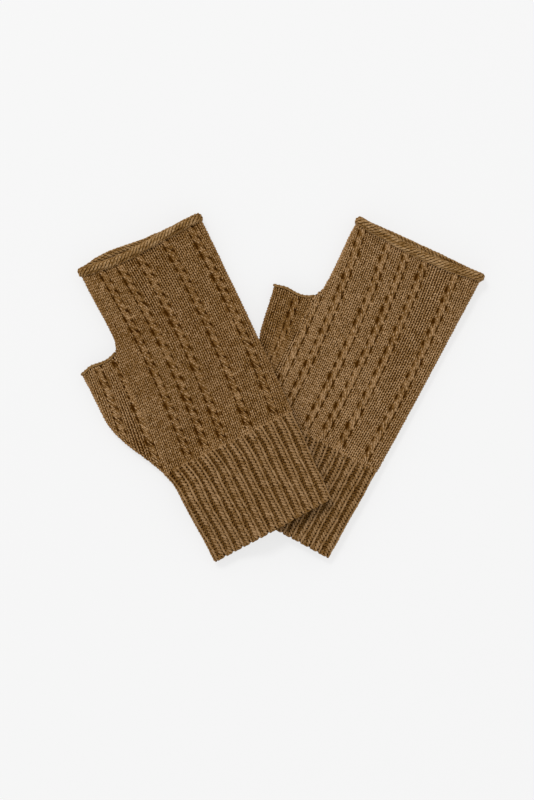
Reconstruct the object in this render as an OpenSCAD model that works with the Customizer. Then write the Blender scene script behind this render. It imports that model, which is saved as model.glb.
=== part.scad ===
// Pair of fingerless knitted gloves lying flat, the right glove resting partly on the left one.
//
// Each glove is a flattened knitted tube: an upper and a lower layer that meet along rounded side
// folds. A layer is made of a ribbed cuff, a hand panel and a thumb gusset. The finger opening ends
// in a rolled edge and the thumb opening in a thin bound-off edge.
//
// A glove is drawn in its own lay-flat coordinates: u across the palm, v from the cuff edge to the
// fingers, z up. The thumb is on the -u side of both gloves, because the right one lies with its
// back up and the left one with its palm up.
// The origin is on the resting surface, at the middle of the pair.

/* [Glove] */
// Length from the cuff edge to the finger roll
glove_len = 198; // [190:1:206]
// Width of the hand tube as it lies flat
palm_w = 84; // [80:1:88]
// Height of the ribbed cuff
cuff_len = 63; // [58:1:66]
// Height of a lying glove
loft = 8.8; // [8.4:0.1:10]
// Thickness of the knitted fabric
fabric = 1.8; // [1.4:0.1:1.9]
// Width of the rounded side fold
fold_w = 5; // [4:0.5:6]

/* [Thumb] */
// Distance that the thumb gusset stands out from the palm
thumb_reach = 26; // [22:1:28]
// Height of the thumb opening above the cuff edge
thumb_top = 144; // [138:1:150]
// Height where the gusset starts to widen
gusset_start = 48; // [44:1:52]

/* [Edges] */
// Width of the rolled finger edge
roll_w = 6.2; // [5:0.1:7]
// Height of the rolled finger edge
roll_h = 4.2; // [3.6:0.1:4.4]
// Width of the bound-off thumb edge
rim_w = 2.2; // [1.8:0.1:2.6]

/* [Lay of the pair] */
// Lean of the right glove, to the left
right_lean = 25; // [23:1:27]
// Lean of the left glove, to the right
left_lean = 28.6; // [27:0.1:30]
// Clearance between the two gloves where one rests on the other
lay_gap = 0.5; // [0.4:0.1:1]
// Length over which the right glove climbs onto the left one
climb = 26; // [22:1:34]

/* [Colours] */
// Colour of the knitted hand
knit_colour = "#7d5c33";
// Colour of the ribbed cuff
rib_colour = "#74552f";
// Colour of the rolled and bound-off edges
edge_colour = "#6b4d29";

/* [Hidden] */

// Lay of a glove: cuff centre, turn about Z, slant of its courses at the cuff and at the fingers,
// stretch along its length and across it
RIGHT_LAY = [[-3.75, -92.1], right_lean, 0.07, 0, 1.012, 1];
LEFT_LAY = [[-7.73, -86.7], -left_lean, 0, 0.064, 0.985, 1.03];
// Finger opening of a glove: sag of the upper edge, bow of the lower one, and where they part most and
// over what width, as fractions of half the palm
RIGHT_FINGERS = [1.8, 2.8, -0.6, 0.5];
LEFT_FINGERS = [3.5, 0.5, 0.1, 1];
// Thumb opening of a glove: its height, its dip, its rise at the crotch, how far its outer corner is
// rounded down, and how far the thumb swings to the palm for each millimetre below the opening
RIGHT_THUMB = [thumb_top - 0.4, 1.3, 3.2, 2, 0];
LEFT_THUMB = [thumb_top - 4, 0.7, 5, 0.8, 0.16];
RIGHT = [RIGHT_LAY, RIGHT_FINGERS, RIGHT_THUMB];
LEFT = [LEFT_LAY, LEFT_FINGERS, LEFT_THUMB];

UP = 1;    // the layer that faces up
DOWN = -1; // the layer that faces the table

half_w = palm_w / 2;
finger_gap = 4.8;      // opening left between the two halves of the roll
low_flare = 12;        // length over which the lower layer rises to the roll
high_flare = 34;       // length over which the upper layer rises to the roll
high_end = 16;         // level stretch of the upper layer before the roll
crotch_len = 5;        // length over which the side fold forms above the thumb opening
crotch_w = 15;         // width over which the thumb opening rises to the crotch
side_bulge = 0.8;      // swell of the little-finger side
sag_start = 150;       // height where the upper finger edge starts to sag
row_step = 6.5;        // spacing of the courses that shape a panel
fold_steps = 4;        // points round a side fold
flat_steps = 9;        // points across a panel between its folds
join_gap = 0.03;       // room between neighbouring sections
roll_bulge = 1.2;      // distance that the roll stands out past the side fold
roll_facets = 12;
rim_facets = 8;

function clamp01(t) = min(max(t, 0), 1);
function smooth(t) = let(s = clamp01(t)) s * s * (3 - 2 * s);
function mix(a, b, t) = a + (b - a) * t;
function soft_min(a, b, k) = min(a, b) - pow(max(k - abs(a - b), 0), 2) / (4 * k);

// Outline
function waist(v) = 1.6 * smooth((v - thumb_top + 1) / 7) * (1 - smooth((v - thumb_top - 12) / 36));
function palm_left(v) = -half_w + waist(v);
function palm_right(v) = half_w + side_bulge * sin(180 * v / glove_len);
function gusset(v) =
    thumb_reach * (0.08 * smooth(v / 50) + 0.82 * smooth((v - gusset_start) / 62)
    + 0.1 * clamp01((v - gusset_start) / (thumb_top - gusset_start)));
function outer_left(v) = palm_left(v) - gusset(v);

// Heights of a glove's thumb opening and of its crotch
function opening(g) = g[2][0];
function crotch(g) = g[2][0] + g[2][2];

// Plan position of a point of a glove's layer, and the lay-flat coordinates of a plan position
function sag(g, side, u, v) =
    let(across = min(max(u / half_w, -1), 1))
    (side == UP ? g[1][0] : -g[1][1]) * smooth((v - sag_start) / (glove_len - sag_start))
    * exp(-pow((across - g[1][2]) / g[1][3], 2)) * (1 - pow(across, 4));
function opening_shape(t, outward) =
    t[2] * pow(clamp01(1 - outward / crotch_w), 3) - t[1] * smooth((20 - outward) / 14);
function thumb_rise(g, u, v) =
    let(t = g[2])
    let(outward = -half_w - u)
    let(beside = outward > join_gap / 2 && v < t[0] + join_gap)
    let(rise = beside ? opening_shape(t, outward) * smooth((v - t[0] + 30) / 30) : 0)
    rise - t[3] * smooth((outward - 17) / 9) * smooth((v - t[0] + 14) / 14);
function swing(t, u, v) =
    t[4] * max(t[0] - v, 0) * smooth((v - gusset_start) / 50) * clamp01((-half_w - u) / crotch_w);
function plan(g, side, u, v) =
    let(lay = g[0])
    let(height = v / glove_len)
    let(slant = lay[2] * pow(1 - height, 3) + lay[3] * pow(height, 2))
    let(x = lay[5] * u + swing(g[2], u, v))
    let(y = lay[4] * (v - sag(g, side, u, v) + thumb_rise(g, u, v)) + slant * (x + half_w))
    lay[0] + x * [cos(lay[1]), sin(lay[1])] + y * [-sin(lay[1]), cos(lay[1])];
function lay_flat(g, p) =
    let(lay = g[0])
    let(d = p - lay[0])
    [d * [cos(lay[1]), sin(lay[1])] / lay[5], d * [-sin(lay[1]), cos(lay[1])]];

// Height by which the left glove lifts the right one that rests on it
function over_left(p) =
    let(q = lay_flat(LEFT, p))
    let(side = q[0] - outer_left(min(q[1], thumb_top)))
    let(inside = soft_min(side, q[1], 16))
    (loft + lay_gap) * smooth((inside + climb) / (climb - 6));
function lift(g, p) = g == RIGHT ? over_left(p) : 0;

// Heights of a glove's outer faces
function low_rise(v) = smooth((v - glove_len + low_flare) / low_flare);
function high_rise(v) = smooth((v - glove_len + high_flare + high_end) / high_flare);
function low_face(v) = (roll_h - fabric) * low_rise(v);
function high_face(v) = loft + (roll_h + finger_gap + fabric - loft) * high_rise(v);

// Height of a layer's face. along goes from 0 at the side edge to 1 where the fold is flat, folded is
// 1 for a side fold and 0 for a straight join, and inset is 0 outside and the fabric inside.
function fold_curve(along) = sqrt(1 - pow(1 - clamp01(along), 2));
function face_z(side, v, along, folded, inset) =
    let(middle = (low_face(v) + high_face(v)) / 2)
    let(half = (high_face(v) - low_face(v)) / 2 - inset)
    middle + side * half * mix(1, fold_curve(along), folded);
function face_point(g, side, u, v, along, folded, inset) =
    let(p = plan(g, side, u, v))
    [p[0], p[1], lift(g, p) + face_z(side, v, along, folded, inset)];

// One face of a layer across the glove at v, from its left to its right boundary
function face_row(g, side, v, left, right, left_fold, right_fold, inset) =
    let(l = left + inset * left_fold)
    let(r = right - inset * right_fold)
    let(w = min(fold_w - inset, 0.45 * (r - l)))
    let(ease = [for (i = [0 : fold_steps - 1]) 1 - cos(90 * i / fold_steps)])
    concat(
        [for (e = ease) face_point(g, side, l + w * e, v, e, left_fold, inset)],
        [for (i = [0 : flat_steps])
            face_point(g, side, mix(l + w, r - w, i / flat_steps), v, 1, 1, inset)],
        [for (i = [fold_steps - 1 : -1 : 0])
            face_point(g, side, r - w * ease[i], v, ease[i], right_fold, inset)]
    );

function reversed(list) = [for (i = [len(list) - 1 : -1 : 0]) list[i]];

// Closed ring round a layer's cross-section at v
function layer_ring(g, side, v, left, right, left_fold, right_fold) =
    concat(
        face_row(g, side, v, left, right, left_fold, right_fold, 0),
        reversed(face_row(g, side, v, left, right, left_fold, right_fold, fabric))
    );

// Solid through rings that all have the same number of points
module loft_rings(rings, inward) {
    n = len(rings[0]);
    last = len(rings) - 1;
    walls = [for (k = [0 : last - 1], i = [0 : n - 1])
        let(a = k * n + i, b = k * n + (i + 1) % n)
        each [[a, b, b + n], [a, b + n, a + n]]];
    half = n / 2;
    caps = [for (k = [0, last], i = [0 : half - 2])
        let(a = k * n + i, b = k * n + i + 1, c = k * n + n - 2 - i, d = k * n + n - 1 - i)
        each k == 0 ? [[a, c, b], [a, d, c]] : [[a, b, c], [a, c, d]]];
    faces = concat(walls, caps);
    polyhedron(
        points = [for (ring = rings) each ring],
        faces = inward ? faces : [for (f = faces) reversed(f)],
        convexity = 6
    );
}

function rows(from, to) = let(n = ceil((to - from) / row_step)) [for (i = [0 : n]) mix(from, to, i / n)];

module cuff_layer(g, side) {
    color(rib_colour)
    loft_rings([for (v = rows(0, cuff_len))
        layer_ring(g, side, v, outer_left(v), palm_right(v), 1, 1)], side == DOWN);
}

module hand_layer(g, side) {
    crotch = crotch(g);
    top = glove_len - roll_w / 2 - join_gap;
    color(knit_colour)
    loft_rings([for (v = concat(rows(cuff_len + join_gap, crotch), rows(crotch + 1.5, top)))
        layer_ring(g, side, v, palm_left(v), palm_right(v), smooth((v - crotch) / crotch_len), 1)],
        side == DOWN);
}

module thumb_layer(g, side) {
    top = opening(g) - rim_w - join_gap;
    color(knit_colour)
    loft_rings([for (v = rows(cuff_len + join_gap, top))
        layer_ring(g, side, v, outer_left(v), palm_left(v) - join_gap, 1, 0)], side == DOWN);
}

// Tube of elliptical section along a path in the u-z plane at v
function edge_ring(g, side, v, spot, lean, width, height, facets) =
    [for (i = [0 : facets - 1])
        let(a = 360 * i / facets)
        let(reach = height / 2 * sin(a))
        let(u = spot[0] - reach * sin(lean))
        let(p = plan(g, side, u, v + width / 2 * cos(a)))
        [p[0], p[1], lift(g, p) + spot[1] + reach * cos(lean)]];

// Path of half of a rolled edge: it turns in at each side fold and meets the other half there.
// Each entry is [u, z, slope angle].
function fold_path(side, left, right, middle, half, turn, steps) =
    concat(
        [for (i = [0 : fold_steps - 1])
            let(a = 90 * i / fold_steps)
            [left + turn * (1 - cos(a)), middle + side * half * sin(a), side * (90 - a)]],
        [for (i = [0 : steps]) [mix(left + turn, right - turn, i / steps), middle + side * half, 0]],
        [for (i = [fold_steps - 1 : -1 : 0])
            let(a = 90 * i / fold_steps)
            [right - turn * (1 - cos(a)), middle + side * half * sin(a), -side * (90 - a)]]
    );

module finger_roll(g, side) {
    low = roll_h / 2;
    high = roll_h * 1.5 + finger_gap;
    middle = (low + high) / 2;
    inner = half_w + roll_bulge - roll_h / 2;
    path = fold_path(side, -inner, inner, middle, (high - low) / 2 - join_gap, fold_w, 12);
    color(edge_colour)
    loft_rings([for (s = path)
        edge_ring(g, side, glove_len, [s[0], s[1] + side * join_gap], s[2], roll_w, roll_h, roll_facets)],
        true);
}

module thumb_edge(g, side) {
    v = opening(g) - rim_w / 2;
    height = fabric + 0.3;
    middle = loft / 2;
    half = middle - height / 2;
    left = outer_left(v) + height / 2;
    right = palm_left(v) - join_gap;
    path = [for (s = fold_path(side, left, right + fold_w, middle, half - join_gap, fold_w - 1, 12))
        if (s[0] < right - 0.5) s];
    color(edge_colour)
    loft_rings(concat(
        [for (s = path)
            edge_ring(g, side, v, [s[0], s[1] + side * join_gap], s[2], rim_w, height, rim_facets)],
        [edge_ring(g, side, v, [right, middle + side * half], 0, rim_w, height, rim_facets)]), true);
}

module right_cuff_back() cuff_layer(RIGHT, UP);
module right_cuff_palm() cuff_layer(RIGHT, DOWN);
module right_hand_back() hand_layer(RIGHT, UP);
module right_hand_palm() hand_layer(RIGHT, DOWN);
module right_thumb_back() thumb_layer(RIGHT, UP);
module right_thumb_palm() thumb_layer(RIGHT, DOWN);
module right_finger_roll_back() finger_roll(RIGHT, UP);
module right_finger_roll_palm() finger_roll(RIGHT, DOWN);
module right_thumb_edge_back() thumb_edge(RIGHT, UP);
module right_thumb_edge_palm() thumb_edge(RIGHT, DOWN);
module left_cuff_palm() cuff_layer(LEFT, UP);
module left_cuff_back() cuff_layer(LEFT, DOWN);
module left_hand_palm() hand_layer(LEFT, UP);
module left_hand_back() hand_layer(LEFT, DOWN);
module left_thumb_palm() thumb_layer(LEFT, UP);
module left_thumb_back() thumb_layer(LEFT, DOWN);
module left_finger_roll_palm() finger_roll(LEFT, UP);
module left_finger_roll_back() finger_roll(LEFT, DOWN);
module left_thumb_edge_palm() thumb_edge(LEFT, UP);
module left_thumb_edge_back() thumb_edge(LEFT, DOWN);

right_cuff_back();
right_cuff_palm();
right_hand_back();
right_hand_palm();
right_thumb_back();
right_thumb_palm();
right_finger_roll_back();
right_finger_roll_palm();
right_thumb_edge_back();
right_thumb_edge_palm();
left_cuff_palm();
left_cuff_back();
left_hand_palm();
left_hand_back();
left_thumb_palm();
left_thumb_back();
left_finger_roll_palm();
left_finger_roll_back();
left_thumb_edge_palm();
left_thumb_edge_back();
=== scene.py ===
from dataclasses import dataclass
from functools import cache
from math import radians

import bpy
import numpy as np
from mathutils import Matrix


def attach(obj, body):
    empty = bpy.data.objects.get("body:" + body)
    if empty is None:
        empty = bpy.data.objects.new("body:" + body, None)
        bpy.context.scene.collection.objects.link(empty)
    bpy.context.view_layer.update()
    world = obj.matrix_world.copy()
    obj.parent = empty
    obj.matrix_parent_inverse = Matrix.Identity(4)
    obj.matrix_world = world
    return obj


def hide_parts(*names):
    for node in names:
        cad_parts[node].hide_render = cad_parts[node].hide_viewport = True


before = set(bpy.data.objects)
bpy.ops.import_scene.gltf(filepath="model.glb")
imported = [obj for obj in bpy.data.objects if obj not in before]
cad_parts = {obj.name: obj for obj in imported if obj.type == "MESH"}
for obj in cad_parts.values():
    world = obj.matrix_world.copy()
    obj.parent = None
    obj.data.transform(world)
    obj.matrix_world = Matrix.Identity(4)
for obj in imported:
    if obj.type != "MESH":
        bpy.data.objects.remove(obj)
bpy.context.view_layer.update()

# A pair of fingerless gloves lying flat, knitted stitch by stitch over the CAD layers.
#
# Shapes are worked out in millimetres in a glove's own lay-flat coordinates, as in the CAD: u across
# the palm, v from the cuff edge to the fingers, z up. A layer's arc is the distance across it, which
# is u where the layer is flat and goes on round its side folds.

MM = 0.001
UP, DOWN = 1, -1

# Dimensions of the CAD part, in millimetres
GLOVE_LEN = 198
PALM_W = 84
CUFF_LEN = 63
LOFT = 8.8
FABRIC = 1.8
FOLD_W = 5
THUMB_REACH = 26
THUMB_TOP = 144
GUSSET_START = 48
ROLL_W = 6.2
ROLL_H = 4.2
RIM_W = 2.2
LAY_GAP = 0.5
CLIMB = 26         # the right glove starts to climb this far outside the left one's edge, and is up
CLIMB_CLEAR = 6    # this far outside it
CLIMB_ROUND = 16   # rounding of the corner of that climb
FINGER_GAP = 4.8
LOW_FLARE = 12
HIGH_FLARE = 34
HIGH_END = 16
CROTCH_LEN = 5
CROTCH_W = 15
SIDE_BULGE = 0.8
SAG_START = 150
ROLL_BULGE = 1.2
WAIST = 1.6
HALF_W = PALM_W / 2

# Knit gauge, in millimetres
COURSE = 1.863
RIB_COURSE = 2.04
RIBS = 14
RIB_KNIT_W = 4.6
RIB_PURL_W = 1.3
LACE_W = 7
LACE_WALES = 3
PLAIN_WALE = 2.6
YARN = 0.46        # radii of the yarns
RIB_YARN = 0.66
ROLL_YARN = 0.48
CHAIN_YARN = 0.46
MIDDLE = 0.9       # depth of a layer's middle under its face
CUFF_START = 0.6   # where the cuff's knitting starts
OVERLAP = 0.9      # of the hand's first course over the cuff's last
TUCK = 1.2         # of the hand's last course under the finger roll
PRESSED = 0.3      # how far the table presses in the yarns of the layer that faces down


@dataclass(frozen=True)
class Glove:
    """How one glove lies, and where its lace columns run.

    sag and bow say how far a finger edge leaves its straight line, where it does so most and over what
    width, the last two as fractions of half the palm."""

    name: str
    upper: str            # the side of the hand that faces up
    lower: str
    at: tuple             # plan position of the cuff's middle
    turn: float           # anticlockwise
    slant_cuff: float     # slope of the courses at the cuff and at the fingers
    slant_fingers: float
    stretch: float        # length of this glove against GLOVE_LEN, and its width against PALM_W
    spread: float
    sag: tuple            # of the upper finger edge towards the cuff
    bow: tuple            # of the lower finger edge away from the cuff
    thumb_top: float
    thumb_dip: float      # dip of the thumb's edge towards the palm, and its rise at the crotch
    crotch_rise: float
    thumb_round: float    # how far the thumb's outer corner is rounded down
    thumb_swing: float    # how far the thumb swings towards the palm, per millimetre down from its top
    columns_low: tuple    # u of the lace columns at COLUMNS_FROM and at COLUMNS_TO
    columns_high: tuple
    column_bow: float     # how far they bow towards the palm's right side between
    plain_wales: tuple    # plain wales between neighbouring columns
    first_eyelet: float   # v of the first eyelets left of the columns
    tone: float           # how much lighter its hand's yarn is painted than the pair's, as painted light and shade, and its thumb's
    thumb_tone: float

    @property
    def crotch(self):
        return self.thumb_top + self.crotch_rise


COLUMNS_FROM, COLUMNS_TO = 70, 190

RIGHT = Glove(
    name="right", upper="back", lower="palm",
    at=(-3.75, -92.1), turn=radians(25),
    slant_cuff=0.07, slant_fingers=0, stretch=1.012, spread=1,
    sag=(3, -0.3, 0.75), bow=(2.8, -0.6, 0.5),
    thumb_top=THUMB_TOP - 0.4, thumb_dip=1.3, crotch_rise=3.2, thumb_round=2, thumb_swing=0,
    columns_low=(-63.6, -48.3, -28.4, -16, -4, 13.8, 31.8),
    columns_high=(-56, -46.5, -28.4, -16.8, -3.4, 15.2, 33),
    column_bow=2.8, plain_wales=(2, 5, 2, 2, 4, 4),
    first_eyelet=63.3, tone=-0.08, thumb_tone=0)
LEFT = Glove(
    name="left", upper="palm", lower="back",
    at=(-7.73, -86.7), turn=radians(-28.6),
    slant_cuff=0, slant_fingers=0.064, stretch=0.985, spread=1.03,
    sag=(3.5, 0.1, 1), bow=(0.5, 0.1, 1),
    thumb_top=THUMB_TOP - 4, thumb_dip=0.7, crotch_rise=5, thumb_round=1.8, thumb_swing=0.16,
    columns_low=(-50.5, -35.8, -24.9, -8.8, 2.6, 14.6, 32.2),
    columns_high=(-57, -47.2, -35.3, -17.4, -4.8, 7.4, 27.2),
    column_bow=2.3, plain_wales=(2, 2, 4, 2, 2, 4),
    first_eyelet=64.5, tone=0.07, thumb_tone=-0.16)


def clamp01(t):
    return np.clip(t, 0, 1)


def smooth(t):
    s = clamp01(t)
    return s * s * (3 - 2 * s)


def mix(a, b, t):
    return a + (b - a) * t


def soft_min(a, b, k):
    return np.minimum(a, b) - np.maximum(k - np.abs(a - b), 0) ** 2 / (4 * k)


# Outline of a glove

def palm_left(v):
    waist = smooth((v - THUMB_TOP + 1) / 7) * (1 - smooth((v - THUMB_TOP - 12) / 36))
    return -HALF_W + WAIST * waist


def palm_right(v):
    return HALF_W + SIDE_BULGE * np.sin(np.pi * v / GLOVE_LEN)


def outer_left(v):
    widening = 0.08 * smooth(v / 50) + 0.82 * smooth((v - GUSSET_START) / 62)
    widening += 0.1 * clamp01((v - GUSSET_START) / (THUMB_TOP - GUSSET_START))
    return palm_left(v) - THUMB_REACH * widening


# Plan position of a lay-flat point, and the height of the layers there

def thumb_rise(glove, u, v):
    """Shape of the thumb's top edge: a rounded outer corner, a dip, and a rise into the crotch."""
    outward = -HALF_W - u
    rise = glove.crotch_rise * clamp01(1 - outward / CROTCH_W) ** 3
    rise -= glove.thumb_dip * smooth((20 - outward) / 14)
    corner = glove.thumb_round * smooth((outward - 17) / 9) * smooth((v - glove.thumb_top + 14) / 14)
    beside = (outward > 0) & (v < glove.thumb_top)
    return rise * beside * smooth((v - glove.thumb_top + 30) / 30) - corner


def plan(glove, side, u, v):
    """Plan position of a lay-flat point of a glove's upper or lower layer."""
    dip, middle, width = glove.sag if side == UP else glove.bow
    across = np.clip(u / HALF_W, -1, 1)
    gape = side * np.exp(-((across - middle) / width) ** 2) * (1 - across ** 4)
    sag = dip * smooth((v - SAG_START) / (GLOVE_LEN - SAG_START)) * gape
    height = v / GLOVE_LEN
    slant = glove.slant_cuff * (1 - height) ** 3 + glove.slant_fingers * height ** 2
    swing = glove.thumb_swing * np.maximum(glove.thumb_top - v, 0) * smooth((v - GUSSET_START) / 50)
    x = glove.spread * u + swing * clamp01((-HALF_W - u) / CROTCH_W)
    y = glove.stretch * (v - sag + thumb_rise(glove, u, v)) + slant * (x + HALF_W)
    c, s = np.cos(glove.turn), np.sin(glove.turn)
    return glove.at[0] + x * c - y * s, glove.at[1] + x * s + y * c


def over_left(x, y):
    """Height by which the left glove lifts the right glove at a plan position."""
    dx, dy = x - LEFT.at[0], y - LEFT.at[1]
    c, s = np.cos(LEFT.turn), np.sin(LEFT.turn)
    u, v = (dx * c + dy * s) / LEFT.spread, dy * c - dx * s
    inside = soft_min(u - outer_left(np.minimum(v, THUMB_TOP)), v, CLIMB_ROUND)
    return (LOFT + LAY_GAP) * smooth((inside + CLIMB) / (CLIMB - CLIMB_CLEAR))


def face_heights(v):
    """Heights of a glove's lower and upper face where it lies flat."""
    low = (ROLL_H - FABRIC) * smooth((v - GLOVE_LEN + LOW_FLARE) / LOW_FLARE)
    rise = smooth((v - GLOVE_LEN + HIGH_FLARE + HIGH_END) / HIGH_FLARE)
    return low, LOFT + (ROLL_H + FINGER_GAP + FABRIC - LOFT) * rise


def half_loft(v):
    """Height of a layer's middle over a glove's mid height where it lies flat."""
    low, high = face_heights(v)
    return (high - low) / 2 - MIDDLE


def fold_arc(v):
    """Length of a side fold's arc, from the flat of a layer to its edge."""
    return np.pi / 2 * np.sqrt(((FOLD_W - MIDDLE) ** 2 + half_loft(v) ** 2) / 2)


def ripple(u, v):
    """Slight unevenness of cloth that lies loose."""
    return 0.16 * np.sin(u / 9.1 + v / 23) + 0.14 * np.sin(v / 15.7 - u / 17 + 1.3)


@dataclass(frozen=True)
class Section:
    """One knitted layer of a glove, from v0 to v1."""

    glove: Glove
    side: int             # UP or DOWN
    kind: str             # "cuff", "hand" or "thumb"
    v0: float
    v1: float

    @property
    def yarn(self):
        """Radius of its yarn."""
        return RIB_YARN if self.kind == "cuff" else YARN

    def edges(self, v):
        """Left and right boundary in u, and how far each one is folded, from 0 to 1."""
        whole = np.ones_like(v)
        if self.kind == "cuff":
            return outer_left(v), palm_right(v), whole, whole
        if self.kind == "thumb":
            return outer_left(v), palm_left(v), whole, 0 * whole
        return palm_left(v), palm_right(v), smooth((v - self.glove.crotch) / CROTCH_LEN), whole

    def arc_span(self, v):
        """Arc position of the left and right boundary at v."""
        left, right, fold_l, fold_r = self.edges(v)
        room = FOLD_W - fold_arc(v)
        return left + fold_l * room, right - fold_r * room

    def bend(self, arc, v):
        """Where the layer's middle lies at an arc position: its u and its height against the glove's mid
        height, and how much it faces sideways and up."""
        left, right, fold_l, fold_r = self.edges(v)
        span_l, span_r = self.arc_span(v)
        turn_w = np.minimum(FOLD_W - MIDDLE, 0.45 * (right - left))
        flat_l = left + MIDDLE * fold_l + turn_w
        flat_r = right - MIDDLE * fold_r - turn_w
        t_l = np.maximum((flat_l - arc) / (flat_l - span_l), 0)
        t_r = np.maximum((arc - flat_r) / (span_r - flat_r), 0)
        fold = np.where(t_l > t_r, fold_l, fold_r)
        t = np.maximum(t_l, t_r)
        sign = np.where(t_l > t_r, -1.0, 1.0)
        angle = fold * np.pi / 2 * t
        reach = turn_w * mix(t, np.sin(np.pi / 2 * t), fold)
        u = np.where(t > 0, np.where(sign < 0, flat_l, flat_r) + sign * reach, arc)
        level = half_loft(v) * mix(1, np.cos(np.pi / 2 * t), fold)
        return u, level, sign * np.sin(angle), np.cos(angle)

    def surface(self, arc, v, out):
        """Points out millimetres outside the middle of the layer, and the layer's normals there."""
        u, level, tilt, rise = self.bend(arc, v)
        out = out - PRESSED * (self.side == DOWN) * np.abs(rise)
        u = u + out * tilt
        x, y = plan(self.glove, self.side, u, v)
        low, high = face_heights(v)
        z = (low + high) / 2 + self.side * (level + out * rise)
        if self.side == UP:
            z = z + ripple(u, v) * np.clip(rise, 0, 1)
        if self.glove is RIGHT:
            z = z + over_left(x, y)
        c, s = np.cos(self.glove.turn), np.sin(self.glove.turn)
        normal = np.stack([tilt * c, tilt * s, self.side * rise], -1)
        return np.stack([x, y, z], -1), normal


# Mesh building

def mesh_piece(name, verts, quads, uvs=None):
    """A smooth mesh object from points in millimetres and rows of four point numbers."""
    mesh = bpy.data.meshes.new(name)
    mesh.vertices.add(len(verts))
    mesh.vertices.foreach_set("co", (np.asarray(verts) * MM).astype(np.float32).ravel())
    mesh.loops.add(quads.size)
    mesh.loops.foreach_set("vertex_index", quads.astype(np.int32).ravel())
    mesh.polygons.add(len(quads))
    mesh.polygons.foreach_set("loop_start", np.arange(0, quads.size, 4, dtype=np.int32))
    mesh.update(calc_edges=True)
    mesh.shade_smooth()
    if uvs is not None:
        layer = mesh.uv_layers.new(name="OFBake")
        layer.uv.foreach_set("vector", uvs.astype(np.float32).ravel())
    obj = bpy.data.objects.new(name, mesh)
    bpy.context.scene.collection.objects.link(obj)
    return obj


def wall_quads(steps, ring):
    """Quads between neighbouring rings of points, for so many steps along a tube."""
    i, k = np.meshgrid(np.arange(steps), np.arange(ring), indexing="ij")
    a0, a1 = i * ring + k, i * ring + (k + 1) % ring
    return np.stack([a0, a1, a1 + ring, a0 + ring], -1).reshape(-1, 4)


def closed_quads(steps, ring, turned):
    """Quads of a tube with end caps, whose rings run out along one side and back along the other."""
    j = np.arange(ring // 2 - 1)
    cap = np.stack([j, ring - 1 - j, ring - 2 - j, j + 1], -1)
    quads = np.concatenate([wall_quads(steps, ring), cap, steps * ring + cap[:, ::-1]])
    return quads[:, ::-1] if turned else quads


def tube(path, normals, radius, sides):
    """Points and quads of a yarn round a path, its section turned to the normals.

    Its ends are capped with whole quads, which leaves one triangle open where sides is odd."""
    tangent = np.gradient(path, axis=0)
    tangent /= np.linalg.norm(tangent, axis=1, keepdims=True)
    up = normals - (normals * tangent).sum(1, keepdims=True) * tangent
    up /= np.linalg.norm(up, axis=1, keepdims=True)
    across = np.cross(tangent, up)
    a = 2 * np.pi * np.arange(sides) / sides
    ring = across[:, None] * np.cos(a)[None, :, None] + up[:, None] * np.sin(a)[None, :, None]
    verts = path[:, None] + ring * np.reshape(radius, (-1, 1, 1))
    steps = len(path) - 1
    caps = [[0, s + 1, s, s - 1] for s in range(2, sides - 1, 2)]
    caps += [[steps * sides + j for j in (0, s - 1, s, s + 1)] for s in range(2, sides - 1, 2)]
    return verts.reshape(-1, 3), np.concatenate([wall_quads(steps, sides), np.array(caps)])


SLOTS = 46         # rows of yarn that a piece's texture has room for
WALES = 36         # wales along such a row
ROW_START = 0.01   # where a yarn starts along its row, and how much of the row its wales may fill
ROW_FILL = 0.97


class YarnPiece:
    """Collects the yarns of one piece."""

    def __init__(self, sides):
        self.sides = sides
        self.verts, self.quads, self.uvs, self.depths = [], [], [], []
        self.count = 0

    def add(self, path, normals, radius, shade, start, end, slot):
        """start and end place the yarn along the texture's U, and slot is its row in V.

        shade is the painted shade along its path, and its upper side is painted lighter still, as a painted
        highlight."""
        verts, quads = tube(path, normals, radius, self.sides)
        n, sides = len(path), self.sides
        i, k = np.meshgrid(np.arange(n - 1), np.arange(sides), indexing="ij")
        u0 = mix(start, end, i / (n - 1))
        u1 = mix(start, end, (i + 1) / (n - 1))
        v0, v1 = (slot + k / sides) / SLOTS, (slot + (k + 1) / sides) / SLOTS
        uv = np.stack([u0, v0, u0, v1, u1, v1, u1, v0], -1).reshape(-1, 8)
        spare = np.tile([start, slot / SLOTS] * 4, (len(quads) - len(uv), 1))
        self.uvs.append(np.concatenate([uv, spare]))
        self.verts.append(verts)
        self.quads.append(quads + self.count)
        # The side of the yarn facing out of its layer gets a painted highlight, and the side facing in gets
        # painted shade.
        swing = np.sin(2 * np.pi * np.arange(sides) / sides)
        self.depths.append((shade[:, None] + np.reshape(radius, (-1, 1)) * swing).ravel())
        self.count += len(verts)

    def build(self, name):
        obj = mesh_piece(name, np.concatenate(self.verts), np.concatenate(self.quads),
                         np.concatenate(self.uvs))
        # Painted shading goes into an attribute that the yarn material reads: painted shade where the yarn
        # lies deep, painted highlight where it stands high.
        depth = obj.data.attributes.new("depth", "FLOAT", "POINT")
        depth.data.foreach_set("value", np.concatenate(self.depths).astype(np.float32))
        return obj


# Stitches

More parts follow.
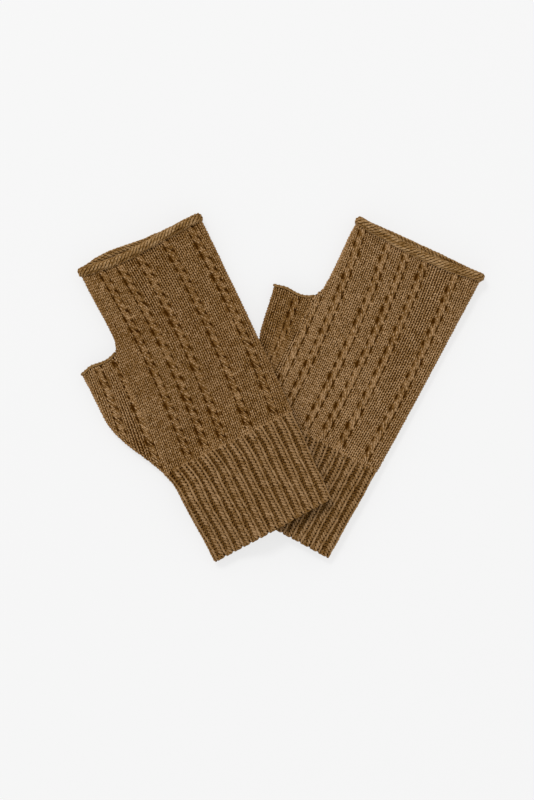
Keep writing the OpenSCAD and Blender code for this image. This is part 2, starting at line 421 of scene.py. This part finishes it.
def wale_lines(section, v):
    """Wale numbers and the arc positions where they begin, at v."""
    if section.kind == "cuff":
        left, right = section.arc_span(v)
        widths = np.tile([RIB_KNIT_W, RIB_PURL_W], RIBS)
        edges = np.concatenate([[0], np.cumsum(widths)]) / widths.sum()
        return np.arange(2 * RIBS + 1), mix(left, right, edges)
    glove = section.glove
    centres = columns_at(glove, v)
    numbers, edges = [0], [centres[0] - LACE_W / 2]
    for centre, plain in zip(centres, (0,) + glove.plain_wales):
        if plain:
            numbers.append(numbers[-1] + plain)
            edges.append(centre - LACE_W / 2)
        numbers.append(numbers[-1] + LACE_WALES)
        edges.append(centre + LACE_W / 2)
    extra = 12    # plain wales outside the outer columns, more than the glove's width needs
    numbers = [-extra, *numbers, numbers[-1] + extra]
    edges = [edges[0] - extra * PLAIN_WALE, *edges, edges[-1] + extra * PLAIN_WALE]
    return np.array(numbers, float), np.array(edges)


def columns_at(glove, v):
    """u of the lace columns at v."""
    low, high = np.array(glove.columns_low), np.array(glove.columns_high)
    t = (np.asarray(v)[..., None] - COLUMNS_FROM) / (COLUMNS_TO - COLUMNS_FROM)
    return mix(low, high, t) + glove.column_bow * 4 * t * (1 - t)


EYELET_PITCH = 4 * COURSE
EYELET_OFFSET = 2.0         # of the eyelets from the middle of their column
EYELET_W = 0.72
EYELET_H = 1.35
EYELET_DEPTH = 0.8
EYELET_SIZES = 40           # sizes drawn for each side of a column, more than it has eyelets
# The two rows of eyelets beside a column: the hand they are on, how many repeats higher they start,
# how much they lean and how large they are
EYELETS_LEFT = dict(hand=-1, phase=0, lean=0.12, size=1.2)
EYELETS_RIGHT = dict(hand=1, phase=0.53, lean=0.5, size=0.95)
LACE_MIDDLE = 1.7           # half the width of the stitches between the eyelets
LACE_REACH = 1.9            # half the width over which stitches move over and stand straighter
LACE_SHEAR = 0.6            # how far the stitches between the eyelets lean over
LACE_SHIFT = 0.5            # wales that they move over from course to course
LACE_STRETCH = 0.15         # how much taller than plain stitches they are
LACE_RELIEF = 0.5
STRAND_GAP = 0.5            # depth of the gaps between the slanting strands that those stitches make
STRAND_SLOPE = 1.6
GROOVE = 0.1                # depth of the line of eyelets


@cache
def eyelet_sizes(section):
    """How wide each eyelet stands open: by lace column, side of the column and repeat."""
    rng = np.random.default_rng(int(section.v1) + 7 * section.side)
    sizes = rng.normal(1, 0.22, (len(section.glove.columns_low), 2, EYELET_SIZES))
    return np.clip(sizes, 0.45, 1.4)


def from_nearest_column(section, arc, v):
    """Number of the nearest lace column, and the distance from its centre."""
    centres = columns_at(section.glove, v)
    offsets = arc[:, None] - centres
    nearest = np.abs(offsets).argmin(1)
    return nearest, np.take_along_axis(offsets, nearest[:, None], 1)[:, 0]


def lace_window(section, arc, v):
    """How strongly lace shows, from 0 to 1: it fades out at a section's ends and at its side edges."""
    left, right = section.arc_span(v)
    courses = smooth((section.v1 + 2 - v) / 4) * smooth((v - CUFF_LEN - 1) / 3)
    return courses * smooth((arc - left - 1.5) / 2.5) * smooth((right - arc - 1.5) / 2.5)


def leaning(section, row, arc):
    """How much the stitches of a course belong to the middle of a lace column, from 0 to 1."""
    v = np.full_like(arc, row)
    _, offset = from_nearest_column(section, arc, v)
    return np.exp(-(offset / LACE_REACH) ** 4) * lace_window(section, arc, v)


def strand_gaps(section, nearest, from_column, v):
    """From -1 on a slanting strand to 1 in the gap beside it, and weaker where the strands run together."""
    along = v + STRAND_SLOPE * from_column - section.glove.first_eyelet
    patchy = 0.55 + 0.45 * np.sin(v / 2.6 + 2.1 * nearest + 1.7 * np.sin(v / 9.0 + 1.3 * nearest))
    return np.cos(4 * np.pi * along / EYELET_PITCH) * patchy


def to_eyelet(section, nearest, from_column, v, hand, phase, lean, size):
    """Offset from the nearest eyelet on one side of a column, and its distance in sizes of that eyelet."""
    repeat = (v - section.glove.first_eyelet) / EYELET_PITCH - phase
    number = np.round(repeat)
    drawn = eyelet_sizes(section)[nearest, (hand + 1) // 2, number.astype(int) % EYELET_SIZES]
    dv = (repeat - number) * EYELET_PITCH
    da = from_column - hand * EYELET_OFFSET + lean * dv
    return da, dv, np.hypot(da / EYELET_W, dv / EYELET_H) / (size * drawn) + 1e-3


def lace(section, row, arc, v, out):
    """Turns plain stitches of the course at row into lace where a lace column runs.

    The middle of a column leans over and stands up, and yarn is pushed aside round the eyelets.
    Returns the moved arc, v and height, how deep in an eyelet or gap the yarn lies, about 1 inside an
    eyelet, and how far it belongs to a strand in the middle of a column, from 0 to 1, for its painted
    highlight."""
    nearest, from_column = from_nearest_column(section, arc, v)
    inside = lace_window(section, arc, v)
    middle = np.exp(-(from_column / LACE_MIDDLE) ** 4) * inside
    groove = np.exp(-((np.abs(from_column) - EYELET_OFFSET) / 0.7) ** 2) * inside
    out = out + LACE_RELIEF * middle - GROOVE * groove
    new_arc = arc - LACE_SHEAR * (v - row) * middle
    new_v = v + LACE_STRETCH * (v - row) * middle
    between = strand_gaps(section, nearest, from_column, v)
    sunk = STRAND_GAP * np.maximum(between, 0) * middle
    for eyelets in (EYELETS_LEFT, EYELETS_RIGHT):
        da, dv, away = to_eyelet(section, nearest, from_column, v, **eyelets)
        push = ((1 + away ** -3) ** (1 / 3) - 1) * inside
        new_arc += da * push
        new_v += dv * push
        # How far the yarn lies sunk in an eyelet, which also sets the painted shade there.
        sunk += np.exp(-(away / 1.15) ** 2) * inside
    return new_arc, new_v, out - EYELET_DEPTH * sunk, sunk, middle * (1 - between) / 2


RELIEF = 0.6                # scale of the heights along a loop
RIB_RELIEF = 0.55           # half of how far the ribs stand out over the purl wales between them
RIB_SHADE = 0.32            # half of how much lighter they are painted, with painted shade on the purl wales between them
RIB_LEAN = 0.18             # the left leg of a rib stitch leans over and its right leg stands straight
RIB_TWIST = 0.16
RIB_CLOSING = 0.01          # how far its legs stand closer together, in wales
PLAIN_LEAN = 0.2            # how far the legs of a plain stitch lean, and those of a lace stitch
LACE_LEAN = 0.12
LOOP_REACH = 0.82           # how far a loop reaches up and down from its course's middle, in courses


def legs(a):
    """Height along a loop: about -1 at its ends, at whole and half turns of a, and 0.7 on its legs."""
    return 1 - 2 * np.sqrt(np.cos(a) ** 2 + 0.02)


def rib_row(v, p, wale, wobble):
    """Offsets of a rib course: across the glove, along it and outwards, and its painted shade, lighter on
    the ribs and darker on the purl wales.
    """
    rib = np.clip(2.2 * np.cos(np.pi * (p - 0.5)), -1, 1)
    knit = (rib + 1) / 2
    a = 2 * np.pi * p
    lean = mix(0.08, RIB_LEAN + RIB_TWIST * np.sin(a), knit)
    across = lean * wale * np.sin(2 * a) + 0.1 * wobble[0]
    across += 0.25 * np.sin(v / 5.3 + 2.4 * np.floor(p / 2)) * knit
    across += RIB_CLOSING * wale * np.sin(a) * knit
    along = -(LOOP_REACH + 0.04 * wobble[1]) * RIB_COURSE * np.cos(a)
    out = RELIEF * rib * legs(a) + 0.07 * wobble[2]
    # Painted shade: lighter on the ribs and where the yarn stands high, darker on the purl wales, with a
    # little random tone.
    shade = 0.3 * out + RIB_SHADE * (rib - 0.6) + 0.12 * wobble[1]
    return across, along, 0.7 * out + RIB_RELIEF * (rib - 0.5), shade


def plain_row(section, v, p, arc, wale, wobble):
    """The same of a plain course, whose stitches move over and stand straighter in the lace columns."""
    leans = leaning(section, v, arc)
    shift = (LACE_SHIFT * (v - section.glove.first_eyelet) / COURSE + 0.25) % 1 - 0.5
    a = 2 * np.pi * (p + shift * leans)
    across = mix(PLAIN_LEAN, LACE_LEAN, leans) * wale * np.sin(2 * a) + 0.1 * wobble[0]
    along = -(LOOP_REACH + 0.04 * wobble[1]) * COURSE * np.cos(a)
    out = RELIEF * legs(a) + 0.07 * wobble[2]
    return across, along, out, out


def stitch_row(section, v, samples, rng):
    """Centre line of one course of stitches: its place p counted in wales, its arc, v and height over
    the middle of the layer, and its painted shade, which follows how high it stands among its neighbours."""
    numbers, edges = wale_lines(section, v)
    left, right = section.arc_span(np.array(float(v)))
    first, last = np.interp([left, right], edges, numbers)
    n = max(int(np.ceil((last - first) * samples)), 4)
    p = np.linspace(first, last, n + 1)
    arc = np.interp(p, numbers, edges)
    wale = np.gradient(arc, p)
    loose = rng.normal(0, 1, (3, int(last - first) * 2 + 6))
    at = np.linspace(0, loose.shape[1] - 1, len(p))
    wobble = [np.interp(at, np.arange(loose.shape[1]), row) for row in loose]
    if section.kind == "cuff":
        across, along, out, shade = rib_row(v, p, wale, wobble)
    else:
        across, along, out, shade = plain_row(section, v, p, arc, wale, wobble)
    return p, arc + across, v + along, out, shade


def hem(section, v, vs, out, relief):
    """Brings forward the loops of the cuff's first course, which nothing hangs from, squares them and lifts
    their painted shade.
    """
    if section.kind == "cuff" and v < RIB_COURSE * 1.5:
        return np.maximum(vs, 0.4), np.maximum(out, -0.2), np.maximum(relief, -0.1)
    return vs, out, relief


def course_heights(section):
    """v of each course of a section, evenly spaced."""
    course = RIB_COURSE if section.kind == "cuff" else COURSE
    n = max(round((section.v1 - section.v0) / course), 1)
    return section.v0 + (np.arange(n) + 0.5) * (section.v1 - section.v0) / n


RELIEF_PAINTED_SHADING = 1.15          # painted highlight on yarn where it stands out and on the strands of the lace, and painted shade where it lies sunk
STRAND_PAINTED_HIGHLIGHT = 0.2           # lace, and how much darker where it lies sunk
SUNK_PAINTED_SHADE = 0.85


def knit_yarn(section, heights, name, samples, sides, seed):
    rng = np.random.default_rng(seed)
    piece = YarnPiece(sides)
    # Painted light and painted shade laid on each glove's hand and thumb, lighter on one glove and darker
    # on the other and on a thumb.
    tone = {"cuff": 0, "hand": section.glove.tone, "thumb": section.glove.thumb_tone}[section.kind]
    for slot, v in enumerate(heights):
        p, arc, vs, out, relief = stitch_row(section, v, samples, rng)
        vs, out, relief = hem(section, v, vs, out, relief)
        sunk, painted_strand_highlight = 0 * out, 0 * out
        if section.kind != "cuff":
            arc, vs, out, sunk, painted_strand_highlight = lace(section, v, arc, vs, out)
        path, normals = section.surface(arc, vs, out)
        knots = np.linspace(p[0], p[-1], 40)
        radius = section.yarn * np.interp(p, knots, rng.normal(1, 0.07, len(knots)))
        radius *= 1 + 0.25 * np.clip(relief, -0.8, 0.5)
        # Painted shading: painted highlight where the yarn stands out and on the lace strands, painted
        # shade where it lies deep or sunk in eyelets and gaps, and painted light and shade laid on by glove
        # and thumb.
        depth = RELIEF_PAINTED_SHADING * relief + tone + STRAND_PAINTED_HIGHLIGHT * painted_strand_highlight - SUNK_PAINTED_SHADE * sunk
        end = ROW_START + (p[-1] - p[0]) / WALES * ROW_FILL
        piece.add(path, normals, radius, depth, ROW_START, end, slot)
    return piece.build(name)


FELT_OUTER, FELT_INNER = -0.35, -0.8    # heights of the felted sheet's faces over the layer's middle
RIB_FELT = -0.35                        # and how much lower they are behind the thicker yarn of the rib


def ground_sheet(section, name):
    """The felted inside of a knitted layer: a thin closed sheet behind its yarns, for the fuzz there, dark
    with painted shade.
    """
    rows = max(round((section.v1 - section.v0) / 2), 2)
    cols = 44
    deeper = RIB_FELT if section.kind == "cuff" else 0
    verts = []
    for v in np.linspace(section.v0, section.v1, rows + 1):
        left, right = section.arc_span(np.array(v))
        arc = np.linspace(left, right, cols + 1)
        vs = np.full_like(arc, v)
        face, _ = section.surface(arc, vs, np.full_like(arc, FELT_OUTER + deeper))
        back, _ = section.surface(arc[::-1], vs, np.full_like(arc, FELT_INNER + deeper))
        verts.append(np.concatenate([face, back]))
    quads = closed_quads(rows, 2 * (cols + 1), section.side == DOWN)
    return mesh_piece(name, np.concatenate(verts), quads)


# Rolled finger edge and bound-off thumb edge

@dataclass(frozen=True)
class Edge:
    """Half of an edge: a line across the glove at v that turns in at its folded ends."""

    glove: Glove
    side: int
    v: float
    left: float
    right: float
    middle: float         # height that its ends turn to, and how far above or below it the rest lies
    half: float
    turn_w: float         # width of a turned end
    folded_right: bool    # whether it turns in on the right too, as it does on the left

    def length(self):
        """Distance along it from end to end."""
        return self.quarter() * (1 + self.folded_right) + self.flat()[1] - self.flat()[0]

    def quarter(self):
        """Length of a folded end's arc."""
        return np.pi / 2 * np.sqrt((self.turn_w ** 2 + self.half ** 2) / 2)

    def flat(self):
        """u where its level stretch starts and ends."""
        return self.left + self.turn_w, self.right - self.turn_w * self.folded_right

    def surface(self, s, angle, radius_v, radius_n):
        """Points round the edge at distance s along it, and their outward normals."""
        quarter = self.quarter()
        flat_l, flat_r = self.flat()
        t_l = np.maximum((quarter - s) / quarter, 0)
        t_r = np.maximum((s - quarter - (flat_r - flat_l)) / quarter, 0) * self.folded_right
        t = np.maximum(t_l, t_r)
        sign = np.where(t_l > t_r, -1.0, 1.0)
        bend = np.pi / 2 * t
        u = np.where(t > 0, np.where(sign < 0, flat_l, flat_r) + sign * self.turn_w * np.sin(bend),
                     flat_l + s - quarter)
        z = self.middle + self.side * self.half * np.cos(bend)
        tilt, rise = sign * np.sin(bend), np.cos(bend)
        reach = radius_n * np.sin(angle)
        v = self.v + radius_v * np.cos(angle)
        x, y = plan(self.glove, self.side, u + tilt * reach, v)
        z = z + self.side * rise * reach
        if self.glove is RIGHT:
            z = z + over_left(x, y)
        c, s = np.cos(self.glove.turn), np.sin(self.glove.turn)
        n_u = tilt * np.sin(angle)
        n_v = np.cos(angle)
        normal = np.stack([n_u * c - n_v * s, n_u * s + n_v * c, self.side * rise * np.sin(angle)], -1)
        return np.stack([x, y, z], -1), normal


def finger_edge(glove, side):
    """Line of the rolled edge's upper or lower half."""
    low, high = ROLL_H / 2, ROLL_H * 1.5 + FINGER_GAP
    inner = HALF_W + ROLL_BULGE - ROLL_H / 2
    return Edge(glove, side, GLOVE_LEN, -inner, inner, (low + high) / 2, (high - low) / 2, FOLD_W, True)


def thumb_rim(glove, side):
    """Line of the thumb edge's upper or lower half, folded only on the outside."""
    v = glove.thumb_top - RIM_W / 2
    height = FABRIC + 0.3
    return Edge(glove, side, v, float(outer_left(v)) + height / 2, float(palm_left(v)), LOFT / 2,
                LOFT / 2 - height / 2, FOLD_W - 1, False)


def edge_core(edge, name, radius_v, radius_n, facets=16):
    """The felted core of an edge, which its yarns lie round, dark with painted shade."""
    steps = max(round(edge.length() / 1.5), 6)
    rings = []
    angle = 2 * np.pi * np.arange(facets) / facets
    for s in np.linspace(0, edge.length(), steps + 1):
        points, _ = edge.surface(np.full(facets, s), angle, radius_v, radius_n)
        rings.append(points)
    return mesh_piece(name, np.concatenate(rings), closed_quads(steps, facets, edge.side == UP))


ROLL_COURSES = 7
ROLL_WALES = 34
ROLL_SKEW = 0.95    # wales by which a stitch column is offset for each radian round the roll
LINK = 2.5          # length of a link of the chain
LINK_END = 0.03     # where a link ends along its row of the texture, and where the roll's yarns end
ROLL_END = 0.98 * ROLL_WALES / WALES
# Half the size of the felted cores, along the glove and outwards
ROLL_CORE = (ROLL_W / 2 - 1.2, ROLL_H / 2 - 1.05)
RIM_CORE = (RIM_W / 2 - 0.45, FABRIC / 2 - 0.35)


def roll_yarn(edge, name, samples, sides, seed):
    """The reverse side of plain knitting, rolled into a rope with its courses running along it."""
    rng = np.random.default_rng(seed)
    piece = YarnPiece(sides)
    radius_v, radius_n = ROLL_W / 2 - 0.85, ROLL_H / 2 - 0.7
    p = np.linspace(0, ROLL_WALES, ROLL_WALES * samples + 1)
    wale = edge.length() / ROLL_WALES
    for slot in range(ROLL_COURSES):
        base = 2 * np.pi * slot / ROLL_COURSES - np.pi / 2
        a = 2 * np.pi * (p + ROLL_SKEW * base)
        loose = np.interp(p, np.arange(ROLL_WALES + 1), rng.normal(0, 1, ROLL_WALES + 1))
        uneven = np.interp(p, np.arange(0, ROLL_WALES + 3, 3), rng.normal(0, 1, ROLL_WALES // 3 + 2))
        reach = -(0.85 + 0.1 * loose) * np.cos(a) / ROLL_COURSES + 0.035 * uneven
        out = 0.5 * legs(a) + 0.12 * loose
        s = (p + 0.13 * np.sin(2 * a) + 0.1 * np.sin(a) - ROLL_SKEW * 2 * np.pi * reach) * wale
        angle = base + 2 * np.pi * reach
        path, normals = edge.surface(np.clip(s, 0, edge.length()), angle, radius_v + out, radius_n + out)
        # Its height goes in as painted shade: lighter where it stands out, darker where it lies deep.
        piece.add(path, normals, np.full(len(p), ROLL_YARN), out, ROW_START, ROLL_END, slot)
    return piece.build(name)


def rim_chain(edge, name, samples, sides, seed):
    """The bound-off edge: a chain of loops lying along it."""
    rng = np.random.default_rng(seed)
    piece = YarnPiece(sides)
    t = np.linspace(-0.12, 1.12, samples + 1)
    a = 2 * np.pi * t
    for k in range(int(edge.length() / LINK)):
        s = LINK * (k + 0.5) - LINK * np.cos(a) * 0.95
        lateral = (t - 0.5) * 1.7 + 0.34 * np.sin(2 * a)
        out = -0.3 * np.cos(2 * a) + 0.04 * rng.normal()
        angle = np.pi / 2 - lateral / 1.25
        path, normals = edge.surface(np.clip(s, 0, edge.length()), angle, RIM_W / 2 - 0.1 + out,
                                     FABRIC / 2 + out)
        # Its height goes in as painted shade: lighter where it stands out, darker where it lies deep.
        piece.add(path, normals, np.full(len(t), CHAIN_YARN), out, ROW_START, LINK_END, k)
    return piece.build(name)


# Materials

def new_material(name):
    """A material with its nodes, its links and its shader."""
    material = bpy.data.materials.new(name)
    material.use_nodes = True
    nodes = material.node_tree.nodes
    return material, nodes, material.node_tree.links, nodes["Principled BSDF"]


def noise(nodes, links, coords, scale, detail, roughness=0.55):
    """A noise texture's value at the coordinates."""
    node = nodes.new("ShaderNodeTexNoise")
    node.inputs["Scale"].default_value = scale
    node.inputs["Detail"].default_value = detail
    node.inputs["Roughness"].default_value = roughness
    links.new(coords, node.inputs["Vector"])
    return node.outputs["Fac"]


def calculate(nodes, links, operation, *values):
    """A math node's result, from numbers and other nodes' results."""
    node = nodes.new("ShaderNodeMath")
    node.operation = operation
    for socket, value in zip(node.inputs, values):
        if isinstance(value, (int, float)):
            socket.default_value = value
        else:
            links.new(value, socket)
    return node.outputs[0]


PLIES = 2
PLY_TURNS = 3       # of a ply round its yarn in each wale


def marled_colour(nodes, links, place, dark, middle, light, plied):
    """Ochre and brown fibres spun together, with painted shade where a yarn lies deep and a painted
    highlight where it stands high.
    """
    marl = noise(nodes, links, place, 1100, 2, 0.6)
    tone = noise(nodes, links, place, 60, 2)
    spun = calculate(nodes, links, "MULTIPLY", marl, 0.7)
    blend = calculate(nodes, links, "MULTIPLY_ADD", tone, 0.12, spun)
    if plied:
        # Painted shading, read from the yarns' attribute: painted shade where a yarn lies deep, painted
        # highlight where it stands high.
        depth = nodes.new("ShaderNodeAttribute")
        depth.attribute_name = "depth"
        blend = calculate(nodes, links, "MULTIPLY_ADD", depth.outputs["Fac"], 0.36, blend)
    ramp = nodes.new("ShaderNodeValToRGB")
    for element, place_on_ramp, shade in zip(ramp.color_ramp.elements, (0.24, 0.82), (dark, light)):
        element.position = place_on_ramp
        element.color = (*shade, 1)
    ramp.color_ramp.elements.new(0.53).color = (*middle, 1)
    links.new(blend, ramp.inputs["Fac"])
    return ramp.outputs["Color"]


def spun_surface(nodes, links, place, plied):
    """Bumps of the fine fibres, and of the plies that wind round a yarn."""
    fibre = noise(nodes, links, place, 2600, 3, 0.7)
    height = calculate(nodes, links, "MULTIPLY", fibre, 0.5)
    if plied:
        uv = nodes.new("ShaderNodeUVMap")
        uv.uv_map = "OFBake"
        parts = nodes.new("ShaderNodeSeparateXYZ")
        links.new(uv.outputs["UV"], parts.inputs[0])
        along = calculate(nodes, links, "MULTIPLY", parts.outputs["X"], 2 * np.pi * WALES * PLY_TURNS)
        around = 2 * np.pi * SLOTS * PLIES
        phase = calculate(nodes, links, "MULTIPLY_ADD", parts.outputs["Y"], around, along)
        ply = calculate(nodes, links, "SINE", phase)
        height = calculate(nodes, links, "MULTIPLY_ADD", ply, 0.35, height)
    bump = nodes.new("ShaderNodeBump")
    bump.inputs["Strength"].default_value = 0.7
    bump.inputs["Distance"].default_value = 0.12 * MM
    links.new(height, bump.inputs["Height"])
    return bump.outputs["Normal"]


def cashmere(name, dark, middle, light, plied=True):
    """Marled cashmere with a soft halo. Without plied it is felted, with no yarns to be seen."""
    material, nodes, links, shader = new_material(name)
    place = nodes.new("ShaderNodeTexCoord").outputs["Object"]
    colour = marled_colour(nodes, links, place, dark, middle, light, plied)
    links.new(colour, shader.inputs["Base Color"])
    links.new(spun_surface(nodes, links, place, plied), shader.inputs["Normal"])
    shader.inputs["Roughness"].default_value = 0.88
    shader.inputs["Specular IOR Level"].default_value = 0.02
    shader.inputs["Sheen Weight"].default_value = 0.03
    shader.inputs["Sheen Roughness"].default_value = 0.45
    shader.inputs["Sheen Tint"].default_value = (0.9, 0.62, 0.3, 1)
    return material


KNIT = cashmere("knit_yarn", (0.043, 0.0105, 0.0002), (0.209, 0.101, 0.0242), (0.505, 0.32, 0.165))
RIB = cashmere("rib_yarn", (0.044, 0.012, 0.0002), (0.175, 0.085, 0.0205), (0.385, 0.236, 0.115))
ROLL = cashmere("roll_yarn", (0.045, 0.013, 0.0004), (0.22, 0.112, 0.03), (0.50, 0.325, 0.165))
CHAIN = cashmere("chain_yarn", (0.05, 0.013, 0.0004), (0.19, 0.095, 0.024), (0.42, 0.27, 0.13))
# The felt stands for the fuzz behind the yarns, and its dark colour is painted shade for the gaps and
# eyelets between them.
FELT_WITH_PAINTED_SHADE = cashmere("felted_inside", (0.035, 0.01, 0.0001), (0.07, 0.024, 0.001), (0.13, 0.055, 0.008), False)


def dress(obj, material, glove, node=None):
    """Gives a piece its material and its body, and hides the CAD node it stands for."""
    obj.data.materials.append(material)
    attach(obj, glove.name + "_glove")
    if node:
        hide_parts(node)
    return obj


# The pair

FINE = (12, 6)          # points in a wale or link and sides of a yarn, where its layer faces up
PLAIN = (8, 5)          # and where it faces down
PLAIN_EDGE = (10, 5)


def knit_section(section, node, material, parts, seed):
    """Knits a layer in as many pieces of yarn as it has parts, over its felted inside, which is dark with
    painted shade.
    """
    samples, sides = FINE if section.side == UP else PLAIN
    heights = course_heights(section)
    yarns = []
    for k, some in enumerate(np.array_split(heights, len(parts))):
        yarn = knit_yarn(section, some, f"{node}_yarn{parts[k]}", samples, sides, seed + k)
        yarns.append(dress(yarn, material, section.glove))
    ground = dress(ground_sheet(section, node + "_inside"), FELT_WITH_PAINTED_SHADE, section.glove, node)
    return ground, yarns


def make_edge(edge, node, core_radii, maker, material, seed):
    samples, sides = FINE if edge.side == UP else PLAIN_EDGE
    core = dress(edge_core(edge, node + "_core", *core_radii), FELT_WITH_PAINTED_SHADE, edge.glove, node)
    yarn = dress(maker(edge, node + "_yarn", samples, sides, seed), material, edge.glove)
    return [core, yarn]


def make_layer(glove, side, seed):
    """Knits the upper or lower layer of a glove, with its half of the roll and of the thumb's edge."""
    face = glove.upper if side == UP else glove.lower
    name = glove.name + "_{}_" + face
    cuff = Section(glove, side, "cuff", CUFF_START, CUFF_LEN)
    hand = Section(glove, side, "hand", CUFF_LEN - OVERLAP, GLOVE_LEN - ROLL_W / 2 + TUCK)
    thumb = Section(glove, side, "thumb", CUFF_LEN - OVERLAP, glove.thumb_top - RIM_W)
    roll = make_edge(finger_edge(glove, side), name.format("finger_roll"),
                     ROLL_CORE, roll_yarn, ROLL, seed + 1)
    rim = make_edge(thumb_rim(glove, side), name.format("thumb_edge"),
                    RIM_CORE, rim_chain, CHAIN, seed + 2)
    ground, yarns = knit_section(cuff, name.format("cuff"), RIB, [""], seed + 3)
    ground, yarns = knit_section(hand, name.format("hand"), KNIT, ["_low", "_high"], seed + 4)
    ground, yarns = knit_section(thumb, name.format("thumb"), KNIT, [""], seed + 6)


for count, (glove, side) in enumerate([(RIGHT, UP), (RIGHT, DOWN), (LEFT, UP), (LEFT, DOWN)]):
    make_layer(glove, side, 100 * count + 7)


# Studio, in metres

PICTURE_H = 0.502
PICTURE_MIDDLE = (-0.0089, -0.0078)
MID_HEIGHT = 0.006


def make_floor():
    """A plain floor that glows, so that it shows as white paper in a soft shade."""
    bpy.ops.mesh.primitive_plane_add(size=6, location=(0, 0, -0.0006))
    floor = bpy.context.object
    floor.name = "floor"
    material, *_, shader = new_material("floor_paper")
    shader.inputs["Base Color"].default_value = (0.2, 0.2, 0.2, 1)
    shader.inputs["Emission Color"].default_value = (1, 1, 1, 1)
    shader.inputs["Emission Strength"].default_value = 0.715
    shader.inputs["Roughness"].default_value = 0.9
    shader.inputs["Specular IOR Level"].default_value = 0.1
    floor.data.materials.append(material)


def make_light():
    """Even light from all round, and a large softbox from above left."""
    world = bpy.data.worlds.new("studio")
    world.use_nodes = True
    world.node_tree.nodes["Background"].inputs["Color"].default_value = (1, 1, 1, 1)
    world.node_tree.nodes["Background"].inputs["Strength"].default_value = 0.72
    bpy.context.scene.world = world
    data = bpy.data.lights.new("softbox", "AREA")
    data.shape = "RECTANGLE"
    data.size, data.size_y = 1.2, 0.9
    data.energy = 74
    light = bpy.data.objects.new("softbox", data)
    light.location = (-1.2, 2.2, 3.6)
    light.rotation_euler = (-light.location).to_track_quat("-Z", "Y").to_euler()
    bpy.context.scene.collection.objects.link(light)


def make_camera():
    """Looks straight down on the pair, and takes in PICTURE_H from top to bottom at its mid height."""
    data = bpy.data.cameras.new("camera")
    data.lens = 100
    data.sensor_width = 36
    camera = bpy.data.objects.new("camera", data)
    distance = PICTURE_H / data.sensor_width * data.lens
    camera.location = (*PICTURE_MIDDLE, distance + MID_HEIGHT)
    bpy.context.scene.collection.objects.link(camera)
    bpy.context.scene.camera = camera


make_floor()
make_light()
make_camera()
bpy.context.scene.view_settings.view_transform = "Standard"
